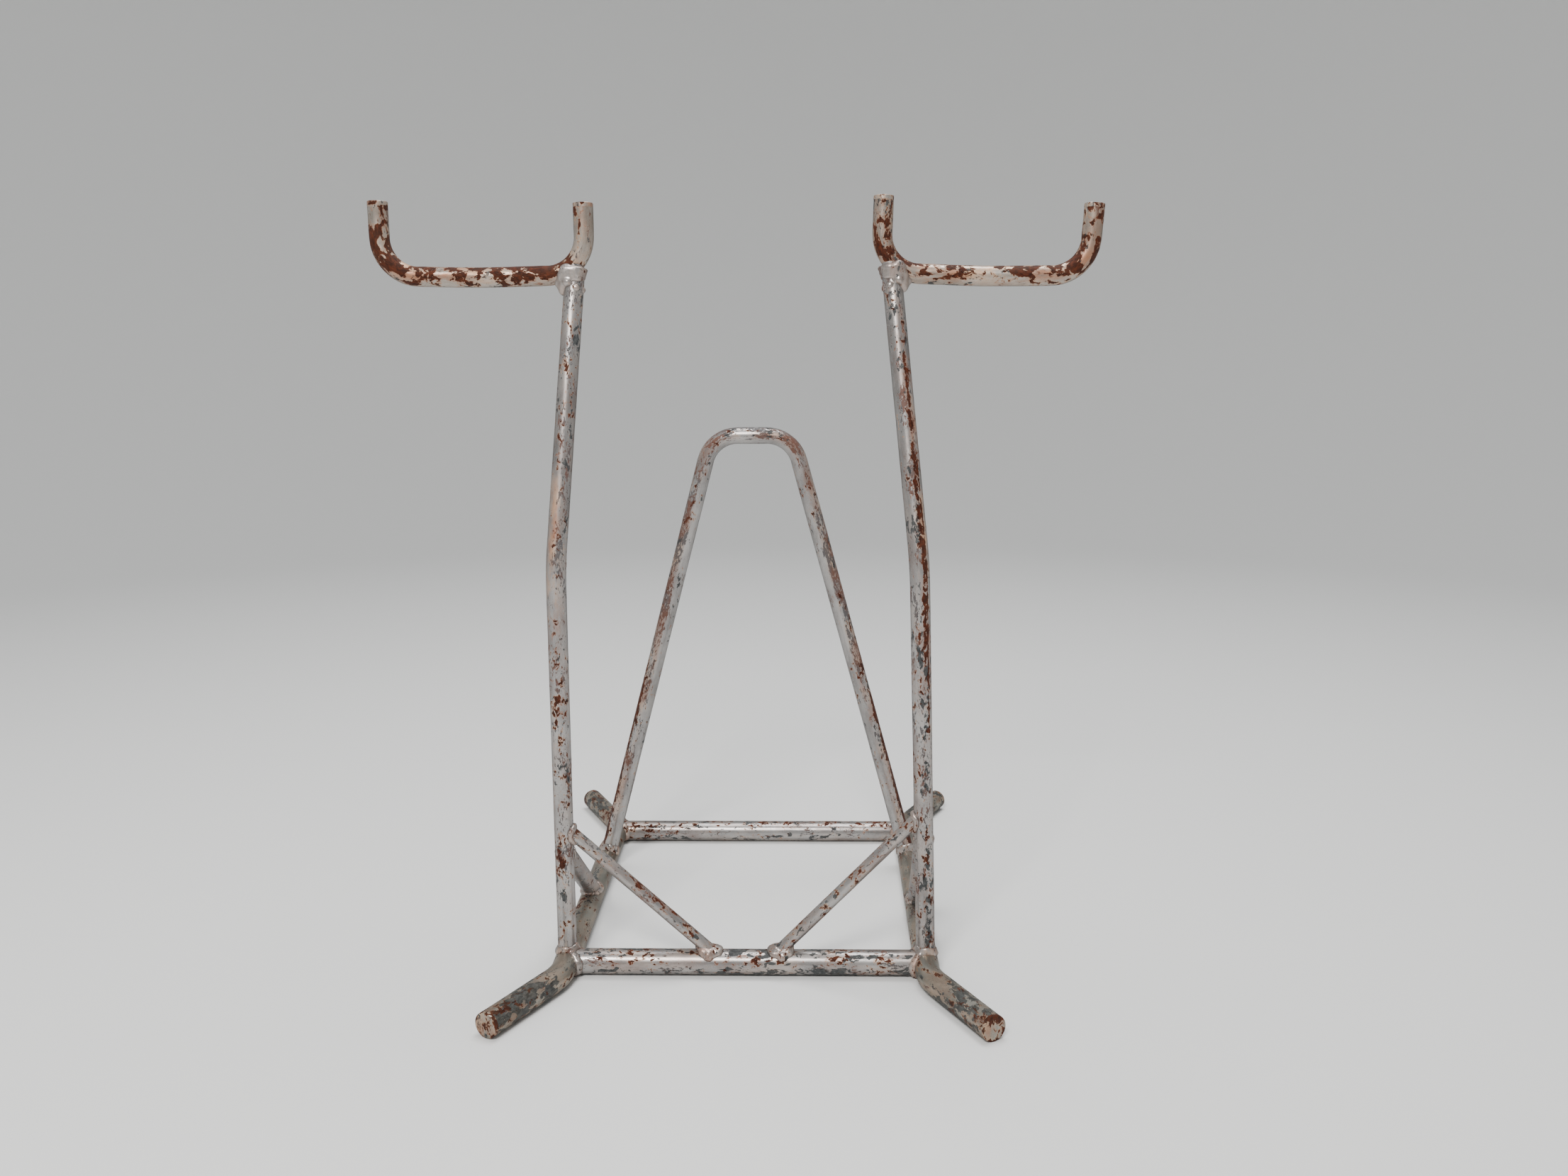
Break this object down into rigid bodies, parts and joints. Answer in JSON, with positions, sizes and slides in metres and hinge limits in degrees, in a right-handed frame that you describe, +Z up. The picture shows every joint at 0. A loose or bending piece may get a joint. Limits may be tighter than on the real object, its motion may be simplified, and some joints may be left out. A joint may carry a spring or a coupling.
{
  "type": "bicycle floor stand",
  "caption": "Free-standing welded tube floor stand: two rails on splayed feet, cross tubes, a wheel hoop, and kinked braced uprights that carry open U-shaped cradles.",
  "frame": {"origin": "on the floor, under the middle of the bounding box", "axes": "+Z up, +Y from the front feet to the rear feet, +X to the right as seen from the front"},
  "size_m": [0.689, 0.6136, 0.7583],
  "materials": {
    "paint": "satin silver paint, chipped, with rust patches and dark flaked streaks",
    "worn_paint": "silver paint worn to grime and rust on the floor rails and feet",
    "rusty_paint": "silver paint with heavy brown-red rust on the cradles",
    "weld": "bright silver paint over lumpy weld beads, tinted with rust"
  },
  "bodies": {
    "root": {"front_cross_tube": "paint", "rear_cross_tube": "paint", "hoop": "paint", "rail_left": "worn_paint", "foot_cap_left_front": "worn_paint", "foot_cap_left_rear": "worn_paint", "cradle_left": "rusty_paint", "cradle_cap_left_inner": "rusty_paint", "cradle_cap_left_outer": "rusty_paint", "upright_left": "paint", "front_brace_left": "paint", "side_brace_left": "paint", "weld_front_corner_left": "weld", "weld_rear_corner_left": "weld", "weld_hoop_foot_left": "weld", "weld_cradle_left": "weld", "weld_front_brace_foot_left": "weld", "weld_front_brace_top_left": "weld", "weld_side_brace_foot_left": "weld", "weld_side_brace_top_left": "weld", "rail_right": "worn_paint", "foot_cap_right_front": "worn_paint", "foot_cap_right_rear": "worn_paint", "cradle_right": "rusty_paint", "cradle_cap_right_inner": "rusty_paint", "cradle_cap_right_outer": "rusty_paint", "upright_right": "paint", "front_brace_right": "paint", "side_brace_right": "paint", "weld_front_corner_right": "weld", "weld_rear_corner_right": "weld", "weld_hoop_foot_right": "weld", "weld_cradle_right": "weld", "weld_front_brace_foot_right": "weld", "weld_front_brace_top_right": "weld", "weld_side_brace_foot_right": "weld", "weld_side_brace_top_right": "weld"}
  },
  "joints": []
}
